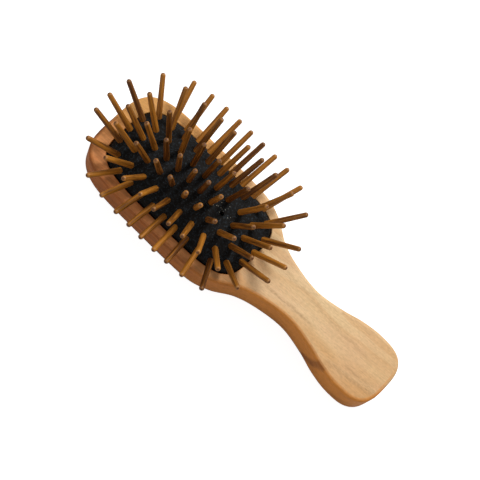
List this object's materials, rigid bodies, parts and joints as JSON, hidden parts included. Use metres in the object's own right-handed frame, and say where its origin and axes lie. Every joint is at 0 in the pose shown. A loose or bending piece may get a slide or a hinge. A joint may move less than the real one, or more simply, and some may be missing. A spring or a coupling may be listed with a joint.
{
  "type": "pin brush",
  "caption": "Small oval hair brush: one-piece wooden head and handle, domed rubber cushion in a pocket, and rows of splayed wooden pins.",
  "frame": {"origin": "on the flat back that the brush rests on, straight below the middle of the cushion", "axes": "+X along the handle, toward its end; +Y to the right when looking from the handle to the head with the pins up; +Z out of the pin side"},
  "size_m": [0.146, 0.06, 0.0443],
  "materials": {
    "body_wood": "sanded and lightly oiled pale wood with darker streaks",
    "rubber": "matt black natural rubber",
    "pin_wood": "turned, waxed amber-brown wood"
  },
  "bodies": {
    "root": {"body": "body_wood", "cushion": "rubber", "pins_row_1": "pin_wood", "pins_row_2": "pin_wood", "pins_row_3": "pin_wood", "pins_row_4": "pin_wood", "pins_row_5": "pin_wood", "pins_row_6": "pin_wood", "pins_row_7": "pin_wood"}
  },
  "joints": []
}
